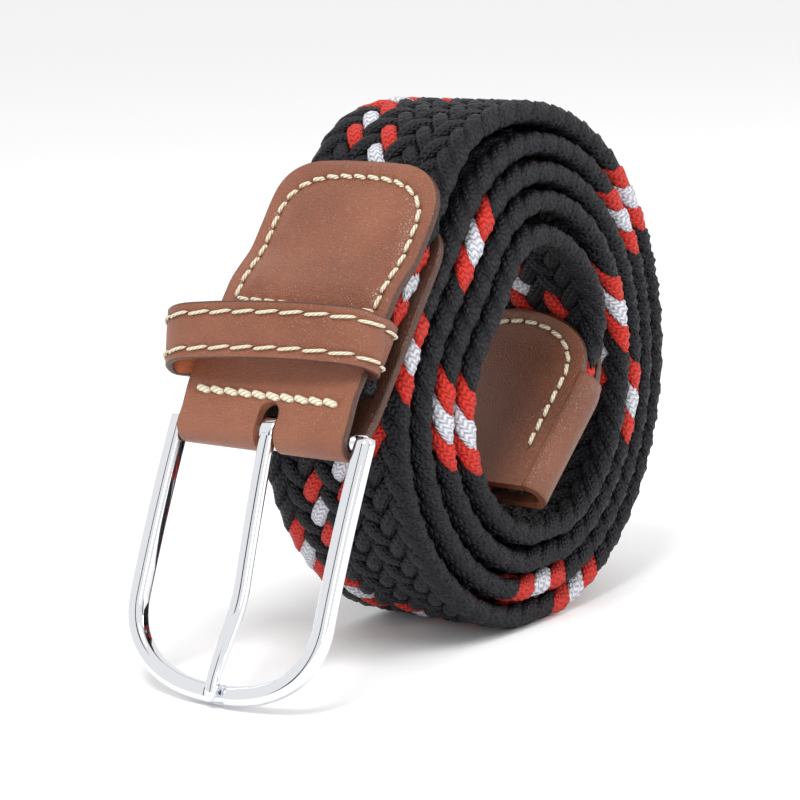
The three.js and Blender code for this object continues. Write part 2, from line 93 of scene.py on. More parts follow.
KEEPER_ROOM = 1
KEEPER_LEAN = 29
KEEPER_DROP = 1
FRAME_WIDTH = 45.4
FRAME_SHIFT = 1.3
FRAME_REACH = 47.6
FRAME_HEEL = 1
FRAME_NOSE = 16.5
FRAME_FACE = 3.4
FRAME_DEPTH = 3.2
FRAME_BOW = 400
NOTCH_DEPTH = 0.5
BAR_RADIUS = 1.5
BAR_CLEARANCE = 0.35
PRONG_WIDTH = 3.1
PRONG_THICKNESS = 2.1
PRONG_RING = 1.15
PRONG_DIP = -0.5
PRONG_BEND = 28
END_ANGLE = 1490
TIP_ROOM_ANGLE = 75
TIP_TAB_LENGTH = 41.5
TIP_NOSE_DEPTH = 16
TIP_NOSE_SQUARENESS = 2.1
TIP_FOLD_LENGTH = 27
TIP_OVERHANG = 1.5
TIP_GAP = 0.38
TIP_TURN_DEPTH = 19.8
TIP_TURN_REACH = 4.6
TIP_CHORD = 24.5
TIP_SLOPE = 222.5
LEAVE_SHARE = 0.36
LEAVE_ROLL = 9
LEAVE_KNEE = 8
CURVE_STEPS = 24

# The flat braid: seventeen cords, each over two and under two
CORDS = 17
CORD_PERIOD = 88.45
CORD_STEP = 1.25
CORD_SIDES = 8
CORD_HALF_WIDTH = 1.62
CORD_HALF_THICKNESS = 1.22
WEAVE_HEIGHT = 1.12
EDGE_BULGE = 0.3
ACCENT_START = 21.1

PITCH_X = BAND_THICKNESS + TURN_GAP_X
PITCH_Z = BAND_THICKNESS + TURN_GAP_Z
ROLL_CENTRE_Z = ROLL_HALF_Z - PITCH_Z / 2 - SETTLE
Y = np.array([0.0, 1.0, 0.0])


def radians(angle):
    return np.asarray(angle) * math.pi / 180


def ease(share):
    t = np.clip(share, 0, 1)
    return t * t * (3 - 2 * t)


def plane(angle):
    """A direction in the XZ plane."""
    return np.array([math.cos(radians(angle)), 0.0, math.sin(radians(angle))])


TAB_ALONG = plane(TAB_SLOPE)
TAB_OUT = plane(TAB_SLOPE + 90)


def reach(half_x, half_z):
    return math.hypot(half_x * TAB_OUT[0], half_z * TAB_OUT[2])


FOLD_RADIUS = BAR_RADIUS + BAR_CLEARANCE + LEATHER / 2
FRONT_MIDDLE = FOLD_RADIUS + BRAID_SWELL
KEEPER_BACK = FRONT_MIDDLE - LEATHER / 2 - GAP - KEEPER_WALL / 2
BRAID_MIDDLE = KEEPER_BACK - KEEPER_WALL / 2 - KEEPER_GAP - BAND_SEWN_THICKNESS / 2
BACK_MIDDLE = BRAID_MIDDLE - BAND_SEWN_THICKNESS / 2 - GAP - LEATHER / 2
BAR_DISTANCE = reach(ROLL_HALF_X, ROLL_HALF_Z) - TAB_SINK - FRONT_MIDDLE - LEATHER / 2
BAR = TAB_OUT * BAR_DISTANCE - TAB_ALONG * BAR_DROP + np.array([0, 0, ROLL_CENTRE_Z])
UNDER_TAB = BAR_DISTANCE + BACK_MIDDLE - LEATHER / 2 - 2 * GAP
DENT_DEPTH = reach(ROLL_HALF_X - PITCH_X * DENT_TURN, ROLL_HALF_Z - PITCH_Z * DENT_TURN) - UNDER_TAB


def roll_point(angle):
    """A point on the webbing's middle line in the roll, at an angle clockwise from the top."""
    turns = angle / 360
    inward = BAND_THICKNESS / 2
    if angle >= 180:
        turn = math.floor((angle - DENT_ANGLE + 180) / 360)
        away = (angle - DENT_ANGLE - 360 * turn) / DENT_WIDTH
        inward += max(0, DENT_DEPTH - DENT_FADE * turn) * math.exp(-away * away)
    inward += (LEATHER + GAP) * float(ease((angle - END_ANGLE + TIP_ROOM_ANGLE) / TIP_ROOM_ANGLE * 1.25))
    x = (ROLL_HALF_X - PITCH_X * turns - inward) * math.sin(radians(angle))
    z = (ROLL_HALF_Z - PITCH_Z * turns - inward) * math.cos(radians(angle))
    bottom_turn = math.floor((angle - 180) / 360 + 0.5)
    floor = BAND_THICKNESS / 2 + PITCH_Z * bottom_turn
    return np.array([x, 0, max(ROLL_CENTRE_Z + z, floor)])


def on_tab(along, out):
    return BAR + TAB_ALONG * along + TAB_OUT * out


def bezier(a, b, c, d, t):
    s = 1 - t
    return a * s**3 + b * 3 * s * s * t + c * 3 * s * t * t + d * t**3


def unit(v):
    return v / np.linalg.norm(v, axis=-1, keepdims=True)


def belt_line():
    """The webbing's middle line: its points, and how many turns each has gone."""
    points, turns = [], []

    def add(point, turn):
        points.append(point)
        turns.append(turn)

    straight_end = TAB_LENGTH * CHORD_SHARE
    for along in np.arange(BRAID_START, straight_end, 1.0):
        add(on_tab(along, BRAID_MIDDLE), 0)
    leave = on_tab(straight_end, BRAID_MIDDLE)
    join = roll_point(JOIN_ANGLE)
    join_way = unit(roll_point(JOIN_ANGLE + 1) - join)
    handle = np.linalg.norm(join - leave) * LEAVE_SHARE
    for i in range(CURVE_STEPS):
        add(bezier(leave, leave + TAB_ALONG * handle, join - join_way * handle, join, i / CURVE_STEPS), 0)
    for angle in range(JOIN_ANGLE, END_ANGLE):
        add(roll_point(angle), max(0, angle / 360))
    last = roll_point(END_ANGLE)
    last_way = unit(last - roll_point(END_ANGLE - 1))
    tip_way = plane(TIP_SLOPE)
    knee = last - np.array([TIP_TURN_REACH, 0, TIP_TURN_DEPTH])
    for i in range(CURVE_STEPS):
        pull, push = last + last_way * LEAVE_ROLL, knee - tip_way * LEAVE_KNEE
        add(bezier(last, pull, push, knee, i / CURVE_STEPS), END_ANGLE / 360)
    for along in np.arange(0, TIP_CHORD + 0.01, 1.0):
        add(knee + tip_way * along, END_ANGLE / 360)
    return np.array(points), np.array(turns)


LINE, LINE_TURNS = belt_line()
LINE_AT = np.concatenate([[0], np.cumsum(np.linalg.norm(np.diff(LINE, axis=0), axis=1))])
BAND_LENGTH = LINE_AT[-1]


def smooth(values, width=2):
    """A running mean that keeps both ends."""
    padded = np.concatenate([[values[0]] * width, values, [values[-1]] * width])
    kernel = np.ones(2 * width + 1) / (2 * width + 1)
    return np.stack([np.convolve(padded[:, k], kernel, "valid") for k in range(values.shape[1])], 1)


LINE_WAY = unit(smooth(np.gradient(LINE, LINE_AT, axis=0)))


def stations(distances):
    """Places, ways and outward directions on the line. It runs straight on past its ends."""
    d = np.asarray(distances, float)
    at = np.stack([np.interp(d, LINE_AT, LINE[:, k]) for k in range(3)], 1)
    way = unit(np.stack([np.interp(d, LINE_AT, LINE_WAY[:, k]) for k in range(3)], 1))
    at = at + way * (np.minimum(d, 0) + np.maximum(d - BAND_LENGTH, 0))[:, None]
    at[:, 1] = -TELESCOPE * np.interp(d, LINE_AT, LINE_TURNS)
    out = np.stack([-way[:, 2], np.zeros(len(d)), way[:, 0]], 1)
    return at, way, out


def band_thickness(distance):
    sewn_start = TAB_LENGTH - BRAID_START
    sewn_end = BAND_LENGTH - TIP_TAB_LENGTH + TIP_OVERHANG
    loose = np.minimum(
        ease((distance - sewn_start + SEWN_EASE) / SEWN_EASE),
        ease((sewn_end + SEWN_EASE - distance) / SEWN_EASE),
    )
    return BAND_SEWN_THICKNESS + (BAND_THICKNESS - BAND_SEWN_THICKNESS) * loose


# Meshes


def add_grid(bm, points, uvs=None, closed=False, caps=True, marks=None):
    """Shapes a grid into rows of rings. points is rows by ring by three, in millimetres."""
    rows, ring = points.shape[:2]
    wide = ring + 1 if closed else ring
    layer = bm.loops.layers.uv.get("UVMap") or bm.loops.layers.uv.new("UVMap")
    mark = bm.verts.layers.float.get("mark") or bm.verts.layers.float.new("mark")
    made = bmesh.ops.create_grid(bm, x_segments=wide - 1, y_segments=rows - 1, size=1)["verts"]
    assert len(made) == wide * rows, (len(made), wide, rows)
    flat = np.concatenate([points, points[:, :1]], 1) if closed else points
    flat = flat.reshape(-1, 3) * MM
    if uvs is None:
        uvs = np.stack(np.meshgrid(np.arange(wide) / (wide - 1), np.arange(rows)), -1)
    uvs = uvs.reshape(-1, 2)
    signs = None if marks is None else (np.concatenate([marks, marks[:, :1]], 1) if closed else marks).ravel()
    order = {}
    for k, v in enumerate(made):
        order[v] = k
        v.co = flat[k]
        if signs is not None:
            v[mark] = signs[k]
    faces = {f for v in made for f in v.link_faces}
    for face in faces:
        face.smooth = True
        for loop in face.loops:
            loop[layer].uv = uvs[order[loop.vert]]
    if caps:
        for row in (0, rows - 1):
            edge = made[row * wide : row * wide + ring]
            bm.faces.new(edge)
    if closed:
        bmesh.ops.remove_doubles(bm, verts=made, dist=1e-8)
    return made


def finished(name, bm, material, body, *nodes, slot=None):
    """Turns a bmesh into a piece that rides on a body and stands for CAD nodes."""
    bmesh.ops.recalc_face_normals(bm, faces=bm.faces)
    mesh = bpy.data.meshes.new(name)
    bm.to_mesh(mesh)
    bm.free()
    obj = bpy.data.objects.new(name, mesh)
    bpy.context.scene.collection.objects.link(obj)
    mesh.materials.append(material)
    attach(obj, body)
    if nodes:
        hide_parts(*nodes)
    return obj


def rounded(half_a, half_b, corner, steps=3, a_steps=4, b_steps=1):
    """A rounded rectangle as ring points, counter-clockwise from its lower left."""
    points = []
    a, b = half_a - corner, half_b - corner
    corners = [(-a, -b, 180), (a, -b, 270), (a, b, 0), (-a, b, 90)]
    for i, (ca, cb, start) in enumerate(corners):
        for k in range(steps + 1):
            t = radians(start + 90 * k / steps)
            points.append((ca + corner * math.cos(t), cb + corner * math.sin(t)))
        na, nb, _ = corners[(i + 1) % 4]
        end_a, end_b = points[-1]
        t = radians(start + 90)
        next_a, next_b = na + corner * math.cos(t), nb + corner * math.sin(t)
        fill = a_steps if i % 2 == 0 else b_steps
        for k in range(1, fill):
            s = k / fill
            points.append((end_a + (next_a - end_a) * s, end_b + (next_b - end_b) * s))
    return np.array(points)


# Materials


def linear(r, g, b):
    return tuple(((c / 255 + 0.055) / 1.055) ** 2.4 if c > 10 else c / 255 / 12.92 for c in (r, g, b))


class Shader:
    """A small builder of node materials."""

    def __init__(self, name):
        self.material = bpy.data.materials.new(name)
        self.material.use_nodes = True
        self.nodes = self.material.node_tree.nodes
        self.links = self.material.node_tree.links
        self.surface = self.nodes["Principled BSDF"]

    def add(self, kind, inputs=None, **settings):
        node = self.nodes.new(kind)
        for key, value in settings.items():
            setattr(node, key, value)
        for key, value in (inputs or {}).items():
            self.feed(node.inputs[key], value)
        return node

    def feed(self, socket, value):
        if isinstance(value, bpy.types.NodeSocket):
            self.links.new(value, socket)
        else:
            socket.default_value = value

    def math(self, operation, a, b=0.0, c=0.0, clamp=False):
        node = self.nodes.new("ShaderNodeMath")
        node.operation = operation
        node.use_clamp = clamp
        for socket, value in zip(node.inputs, (a, b, c)):
            self.feed(socket, value)
        return node.outputs[0]

    def mix(self, share, a, b):
        node = self.nodes.new("ShaderNodeMix")
        node.data_type = "RGBA"
        self.feed(node.inputs["Factor"], share)
        for key, value in (("A", a), ("B", b)):
            socket = [s for s in node.inputs if s.name == key and s.type == "RGBA"][0]
            self.feed(socket, (*value, 1) if isinstance(value, tuple) else value)
        return [s for s in node.outputs if s.type == "RGBA"][0]

    def noise(self, vector, scale, detail=2.0, roughness=0.5):
        inputs = {"Vector": vector, "Scale": scale, "Detail": detail, "Roughness": roughness}
        return self.add("ShaderNodeTexNoise", inputs).outputs["Fac"]

    def ramp(self, value, low, high):
        node = self.add("ShaderNodeMapRange", {"Value": value, "From Min": low, "From Max": high})
        node.clamp = True
        return node.outputs["Result"]

    def bump(self, height, distance, strength=1.0, normal=None):
        inputs = {"Height": height, "Distance": distance, "Strength": strength}
        if normal is not None:
            inputs["Normal"] = normal
        return self.add("ShaderNodeBump", inputs).outputs["Normal"]

    def finish(self, **values):
        for key, value in values.items():
            socket = self.surface.inputs[key.replace("_", " ").title().replace("Ior", "IOR")]
            self.feed(socket, (*value, 1) if isinstance(value, tuple) and len(value) == 3 else value)
        return self.material


def cord_material(name, colour, sheen=0.25):
    """A small knitted cord: slanted stitches in columns round it, from its own UV."""
    s = Shader(name)
    uv = s.add("ShaderNodeUVMap", uv_map="UVMap")
    split = s.add("ShaderNodeSeparateXYZ", {"Vector": uv.outputs["UV"]})
    column = s.math("PINGPONG", s.math("MULTIPLY", split.outputs["X"], 12.0), 1.0)
    slant = s.math("ADD", s.math("MULTIPLY", split.outputs["Y"], 1.0), s.math("MULTIPLY", column, 0.55))
    stitch = s.math("ABSOLUTE", s.math("SINE", s.math("MULTIPLY", slant, math.pi)))
    seam = s.math("ABSOLUTE", s.math("SINE", s.math("MULTIPLY", column, math.pi)))
    fibre = s.noise(uv.outputs["UV"], 9.0, 3.0)
    height = s.math("ADD", s.math("MULTIPLY", stitch, 0.7), s.math("MULTIPLY", seam, 0.35))
    height = s.math("ADD", height, s.math("MULTIPLY", fibre, 0.3))
    normal = s.bump(height, 0.0004, 1.0)
    # Painted shade: the base colour darkens to 45% in the grooves between the knitted stitches. Random fibre
    # tone is mixed in.
    groove_shade_and_fibre_tone = s.math("MULTIPLY_ADD", stitch, 0.5, s.math("MULTIPLY", fibre, 0.35))
    dark = tuple(c * 0.45 for c in colour)
    base = s.mix(s.ramp(groove_shade_and_fibre_tone, 0.05, 0.75), dark, colour)
    return s.finish(
        base_color=base,
        roughness=0.5,
        specular_ior_level=0.3,
        sheen_weight=sheen,
        sheen_roughness=0.4,
        normal=normal,
    )


def leather_material(name, colour, high, wear=1.0):
    """Smooth calf leather: fine pebble grain with painted shade in its creases, painted edges and a raw back.
    """
    s = Shader(name)
    where = s.add("ShaderNodeTexCoord").outputs["Object"]
    mark = s.add("ShaderNodeAttribute", attribute_name="mark").outputs["Fac"]
    cells = s.add("ShaderNodeTexVoronoi", {"Vector": where, "Scale": 1800.0}, feature="DISTANCE_TO_EDGE")
    crease = s.ramp(cells.outputs["Distance"], 0.0, 0.16)
    pores = s.noise(where, 2600.0, 2.0)
    cloud = s.noise(where, 60.0, 3.0)
    swirl = s.noise(where, 320.0, 3.0, 0.6)
    height = s.math("ADD", s.math("MULTIPLY", crease, 0.5), s.math("MULTIPLY", pores, 0.5))
    height = s.math("ADD", height, s.math("MULTIPLY", swirl, 1.2))
    normal = s.bump(height, 0.00015 * wear, 0.9)
    base = s.mix(s.ramp(cloud, 0.35, 0.7), colour, high)
    # Painted shade: the base colour darkens towards 45% in the grain's creases.
    painted_crease_shade = s.math("MULTIPLY", s.math("SUBTRACT", 1.0, crease), 0.22)
    base = s.mix(painted_crease_shade, base, tuple(c * 0.45 for c in colour))
    edge = s.ramp(mark, 0.25, 0.8)
    base = s.mix(edge, base, linear(74, 42, 28))
    flesh = s.ramp(mark, 1.2, 1.8)
    base = s.mix(flesh, base, linear(178, 96, 58))
    rough = s.math("MULTIPLY_ADD", cloud, 0.1, 0.3)
    rough = s.math("MULTIPLY_ADD", flesh, 0.4, rough)
    return s.finish(base_color=base, roughness=rough, specular_ior_level=0.5, normal=normal)


def thread_material(name, colour):
    """Waxed thread, with the slanted lines of its twist, their grooves darkened by painted shade."""
    s = Shader(name)
    uv = s.add("ShaderNodeUVMap", uv_map="UVMap")
    split = s.add("ShaderNodeSeparateXYZ", {"Vector": uv.outputs["UV"]})
    around = s.math("MULTIPLY", split.outputs["X"], 3.0)
    slant = s.math("ADD", around, s.math("MULTIPLY", split.outputs["Y"], 0.9))
    twist = s.math("ABSOLUTE", s.math("SINE", s.math("MULTIPLY", slant, math.pi)))
    # Painted shade: the base colour darkens to half in the grooves of the twist.
    base = s.mix(s.ramp(twist, 0.0, 0.5), tuple(c * 0.5 for c in colour), colour)
    return s.finish(base_color=base, roughness=0.6, sheen_weight=0.2, normal=s.bump(twist, 0.0002, 1.0))


def chrome_material(name):
    s = Shader(name)
    return s.finish(base_color=linear(232, 234, 238), metallic=1.0, roughness=0.07)


_materials = {}


def material(name):
    """Makes each material once, when a piece first asks for it."""
    if name not in _materials:
        looks = bpy.context.scene.belt_looks
        tip, worn_tip = linear(104, 58, 38), linear(122, 72, 48)
        makers = {
            "navy": lambda: cord_material("navy cord", tuple(looks.navy), 0.02),
            "red": lambda: cord_material("red cord", tuple(looks.red), 0.05),
            "white": lambda: cord_material("white cord", tuple(looks.white), 0.05),
            "leather": lambda: leather_material("leather", tuple(looks.leather), linear(146, 88, 62)),
            "tip leather": lambda: leather_material("tip leather", tip, worn_tip, 0.8),
            "thread": lambda: thread_material("thread", tuple(looks.thread)),
            "chrome": lambda: chrome_material("polished metal"),
        }
        _materials[name] = makers[name]()
    return _materials[name]


# The braid


def cord_section_angle(w):
    """How far a cord's flat side has turned from the webbing's face, over one period."""
    turn = 1 / 26
    stops = [0, turn, 0.5 - turn, 0.5, 0.5 + turn, 1 - turn, 1]
    values = [-90, 0, 0, -90, -180, -180, -90]
    fine = np.linspace(0, 1, 521)
    rough = np.interp(fine, stops, values)
    kernel = np.ones(9) / 9
    padded = np.concatenate([rough[-9:-1], rough, rough[1:9]])
    soft = np.convolve(padded, kernel, "same")[8:-8]
    return np.interp(w, fine, soft)


def cord_points(index):
    """One cord's rings over the whole webbing, and their UV."""
    count = int(BAND_LENGTH / CORD_STEP) + 1
    s = np.linspace(0, BAND_LENGTH, count)
    w = ((s - ACCENT_START) / CORD_PERIOD - index / CORDS) % 1
    rounding = 0.982
    wave = np.arcsin(rounding * np.cos(2 * math.pi * w)) / math.asin(rounding)
    half_travel = BAND_WIDTH / 2 - CORD_HALF_THICKNESS - 0.15
    across = -half_travel * wave
    v = (w * 2) % 1
    phase = np.interp(v, [0, 1 / CORDS, 1 - 1 / CORDS, 1], [0, 45, 1395, 1440])
    sewn = band_thickness(s) / BAND_THICKNESS
    height = WEAVE_HEIGHT * sewn * np.sin(radians(phase))
    at, _, out = stations(s)
    middle = at + Y * across[:, None] + out * height[:, None]
    way = unit(np.gradient(middle, axis=0))
    angle = radians(cord_section_angle(w))
    face = out * np.cos(angle)[:, None] + Y * np.sin(angle)[:, None]
    face = unit(face - way * (face * way).sum(1, keepdims=True))
    side = np.cross(way, face)
    turn = np.arange(CORD_SIDES) * 2 * math.pi / CORD_SIDES
    thick = CORD_HALF_THICKNESS * (0.35 + 0.65 * sewn)
    from_edge = np.minimum(v, 1 - v)
    wide = CORD_HALF_WIDTH * (1 + EDGE_BULGE * np.exp(-((from_edge * CORDS / 1.2) ** 2)))
    rings = (
        middle[:, None]
        + side[:, None] * (np.cos(turn)[None] * wide[:, None])[..., None]
        + face[:, None] * (np.sin(turn)[None] * thick[:, None])[..., None]
    )
    length = np.concatenate([[0], np.cumsum(np.linalg.norm(np.diff(middle, axis=0), axis=1))])
    u = np.arange(CORD_SIDES + 1) / CORD_SIDES
    uvs = np.stack(np.meshgrid(u, length), -1)
    return rings, uvs


def cords(name, indices, look, *nodes):
    bm = bmesh.new()
    for index in indices:
        rings, uvs = cord_points(index)
        add_grid(bm, rings, uvs, closed=True)
    return finished(name, bm, material(look), "belt", *nodes, slot="braid")


# Stitches


def add_stitch(bm, points, normals, width=0.42, rise=0.42):
    """One thread stitch along a few surface points: high in the middle, sunk at both ends."""
    count = len(points)
    t = np.linspace(-1, 1, count)
    way = unit(np.gradient(points, axis=0))
    side = np.cross(normals, way)
    lift = rise * (1 - t**4) - 0.12
    girth = width * np.clip(1.15 - np.abs(t) ** 5, 0.15, 1)
    turn = np.arange(8) * 2 * math.pi / 8
    rings = (points + normals * lift[:, None])[:, None] + (
        side[:, None] * np.cos(turn)[None, :, None] + normals[:, None] * np.sin(turn)[None, :, None]
    ) * girth[:, None, None]
    length = np.concatenate([[0], np.cumsum(np.linalg.norm(np.diff(points, axis=0), axis=1))])
    uvs = np.stack(np.meshgrid(np.arange(9) / 8, length), -1)
    add_grid(bm, rings, uvs, closed=True)


def stitch_runs(path, pitch, gap=0.5, slant=0.0):
    """Splits a line of surface coordinates into stitches of a few points, and their holes."""
    path = np.asarray(path, float)
    length = np.concatenate([[0], np.cumsum(np.linalg.norm(np.diff(path, axis=0), axis=1))])
    count = max(1, round(length[-1] / pitch))
    real = length[-1] / count
    runs, holes = [], []
    for k in range(count):
        d = np.linspace(k * real + gap / 2, (k + 1) * real - gap / 2, 9)
        p = np.stack([np.interp(d, length, path[:, i]) for i in range(2)], 1)
        way = unit(p[-1] - p[0])
        lean = np.linspace(-slant, slant, 9)[:, None] * np.array([-way[1], way[0]])
        runs.append(p + lean)
        holes.append([np.interp(k * real, length, path[:, i]) for i in range(2)])
    holes.append(list(path[-1]))
    return runs, np.array(holes)


def dents(a, b, holes, depth, spread):
    """How far the needle holes pull a surface in, at surface coordinates a and b."""
    total = np.zeros(np.shape(a))
    for ha, hb in holes:
        near = ((a - ha) ** 2 + (b - hb) ** 2) / spread**2
        total = np.maximum(total, np.exp(-near))
    return depth * total


def distance_to_path(a, b, path):
    """The distance of surface coordinates from a polyline."""
    best = np.full(np.shape(a), 1e9)
    for (a0, b0), (a1, b1) in zip(path[:-1], path[1:]):
        da, db = a1 - a0, b1 - b0
        t = np.clip(((a - a0) * da + (b - b0) * db) / (da * da + db * db + 1e-12), 0, 1)
        best = np.minimum(best, np.hypot(a - a0 - da * t, b - b0 - db * t))
    return best


# The leather end at the buckle


def lobe_half(from_end, half, depth, squareness):
    share = np.clip(1 - np.asarray(from_end) / depth, 0, 1)
    return half * (1 - share**squareness) ** (1 / squareness)


def back_offset(distance):
    return -(band_thickness(distance) / 2 + GAP + LEATHER / 2)


def front_offset(distance):
    past = (distance + BRAID_START - KEEPER_FROM_BAR - KEEPER_WIDTH - 3 * KEEPER_SWAY) / KEEPER_WIDTH
    return -back_offset(distance) + (KEEPER_WALL + KEEPER_GAP) * (1 - ease(past))


def strip_side(side, along):
    """The middle of one leather layer at distances from the bar."""
    offset, middle = (front_offset, FRONT_MIDDLE) if side > 0 else (back_offset, BACK_MIDDLE)
    d = along - BRAID_START
    at, _, out = stations(d)
    far = at + out * offset(d)[:, None]
    share = ease(along / (KEEPER_FROM_BAR - KEEPER_SWAY))
    rise = side * FOLD_RADIUS + (middle - side * FOLD_RADIUS) * share
    near = BAR + TAB_ALONG * along[:, None] + TAB_OUT * rise[:, None]
    blend = ease((along - 10) / 3)[:, None]
    points = near * (1 - blend) + far * blend
    points[:, 1] = 0
    return points


def strip_line():
    """The folded strip's middle line, from the front nose round the bar to the back nose."""
    front = np.arange(TAB_LENGTH, 0, -0.5)
    back = np.arange(0.5, TAB_BACK_LENGTH + 0.1, 1.0)
    turn = np.linspace(0, math.pi, 19)
    down, away = np.sin(turn)[:, None] * FOLD_RADIUS, np.cos(turn)[:, None] * FOLD_RADIUS
    fold = BAR - TAB_ALONG * down + TAB_OUT * away
    points = np.concatenate([strip_side(1, front), fold, strip_side(-1, back)])
    run = np.concatenate([front, -turn * FOLD_RADIUS, -math.pi * FOLD_RADIUS - back])
    end = np.concatenate([TAB_LENGTH - front, np.full(len(turn), 99.0), TAB_BACK_LENGTH - back])
    way = unit(smooth(np.gradient(points, axis=0), 1))
    out = np.stack([way[:, 2], np.zeros(len(way)), -way[:, 0]], 1)
    return points, out, run, end


STRIP, STRIP_OUT, STRIP_RUN, STRIP_END = strip_line()


def strip_place(across, run, lift):
    """A point over the strip's outer face. run is the distance from the bar, negative round the fold."""
    order = np.argsort(STRIP_RUN)
    xs = STRIP_RUN[order]
    at = np.stack([np.interp(run, xs, STRIP[order, k]) for k in range(3)], -1)
    out = unit(np.stack([np.interp(run, xs, STRIP_OUT[order, k]) for k in range(3)], -1))
    at = at + out * (LEATHER / 2 + lift)[..., None]
    at[..., 1] = TAB_SHIFT + across
    return at, out


U_INSET = 3.1
U_START = 23.2


def u_path():
    """The U of stitches round the front layer's nose, in across and distance from the bar."""
    top = TAB_LENGTH - U_INSET
    depth = NOSE_DEPTH - U_INSET + 1
    from_end = depth * (1 - np.cos(np.linspace(0, math.pi / 2, 14)))
    half = lobe_half(from_end, TAB_WIDTH / 2 - U_INSET, depth, NOSE_SQUARENESS - 0.4)
    right = [(-h, top - f) for h, f in zip(half, from_end)]
    left = [(h, top - f) for h, f in zip(half, from_end)]
    start = [(-(TAB_WIDTH / 2 - U_INSET), U_START)]
    finish = [(TAB_WIDTH / 2 - U_INSET, U_START)]
    return np.array(finish + left[::-1] + right[1:] + start)


EDGE_CORNER = 0.42


def leather_ring(half, face_steps, back_steps, edge_steps=3):
    """Ring points of a leather layer: across, height from its middle, and its mark."""
    corner = min(EDGE_CORNER, half * 0.5)
    flat, top = half - corner, LEATHER / 2
    inner = top - corner
    points = [(t * flat, top, 0.0) for t in np.linspace(1, -1, face_steps)]
    turn = [radians(90 * k / edge_steps) for k in range(edge_steps + 1)]
    bend = [(k / edge_steps, corner * math.sin(a), corner * math.cos(a)) for k, a in enumerate(turn)]
    points += [(-flat - sine, inner + cosine, 0.35 + 0.65 * share) for share, sine, cosine in bend[1:]]
    points += [(-flat - cosine, -inner - sine, 1.0) for _, sine, cosine in bend]
    points += [(t * flat, -top, 1.0) for t in np.linspace(-1, 1, back_steps)[1:]]
    points += [(flat + sine, -inner - cosine, 1.0) for _, sine, cosine in bend[1:]]
    points += [(flat + cosine, inner + sine, 1.0 - 0.65 * share) for share, sine, cosine in bend[:-1]]
    return np.array(points)


def buckle_tab():
    u_line = u_path()
    u_runs, u_holes = stitch_runs(u_line, 3.05, 0.35, 0.18)
    cross = np.array([(TAB_WIDTH / 2 - U_INSET, U_START), (-(TAB_WIDTH / 2 - U_INSET), U_START - 0.3)])
    cross_runs, cross_holes = stitch_runs(cross, 3.05, 0.35, 0.1)
    low = np.array([(16.4, 5.2), (-15.6, 5.2)])
    low_runs, low_holes = stitch_runs(low, 3.1, 0.1, 0.3)
    holes = np.concatenate([u_holes, cross_holes])
    closed_u = np.concatenate([u_line, u_line[:1]])
    rings, marks = [], []
    for i in range(len(STRIP)):
        half = float(lobe_half(STRIP_END[i] + 0.06, TAB_WIDTH / 2, NOSE_DEPTH, NOSE_SQUARENESS))
        ring = leather_ring(half, 69, 9)
        across, height, mark = ring.T
        thin = min(1.0, 0.25 + STRIP_END[i] / 0.8 * 0.75)
        height = height * thin
        run = STRIP_RUN[i]
        lift = np.zeros(len(across))
        face = mark < 0.3
        if run > 0:
            a, b = across[face], np.full(face.sum(), run)
            off = distance_to_path(a, b, closed_u)
            from_end = TAB_LENGTH - U_INSET - run
            inner = lobe_half(from_end, TAB_WIDTH / 2 - U_INSET, NOSE_DEPTH - U_INSET + 1, 2.8)
            inside = (np.abs(a) < inner) & (run > U_START)
            lift[face] += np.where(inside, 0.75 * ease(off / 4.2), 0) - 0.3 * np.exp(-((off / 0.75) ** 2))
            lift[face] -= dents(a, b, holes, 0.45, 0.62)
            low_off = distance_to_path(a, b, low)
            lift[face] -= 0.35 * np.exp(-((low_off / 1.0) ** 2)) + dents(a, b, low_holes, 0.25, 0.6)
            rim = TAB_WIDTH / 2 - np.abs(a) if run < TAB_LENGTH - NOSE_DEPTH else off * 0 + 9
            lift[face] -= 0.12 * np.exp(-((rim / 0.9) ** 2))
        place = STRIP[i] + STRIP_OUT[i] * (height + lift)[:, None] + Y * (across + TAB_SHIFT)[:, None]
        rings.append(place)
        marks.append(mark)
    bm = bmesh.new()
    add_grid(bm, np.array(rings), closed=True, marks=np.array(marks))
    tab = finished("buckle_leather", bm, material("leather"), "belt", "buckle_tab", slot="leather")
    cut_slot(tab)
    bm = bmesh.new()
    for runs, rise, width in ((u_runs, 0.28, 0.4), (cross_runs, 0.2, 0.38), (low_runs, 0.3, 0.62)):
        for run in runs:
            p, n = strip_place(run[:, 0], run[:, 1], np.full(len(run), -0.25))
            add_stitch(bm, p, n, width, rise)
    finished("tab_stitches", bm, material("thread"), "belt", slot="leather")


SLOT_CUT = 20
SLOT_CUT_DEPTH = 15


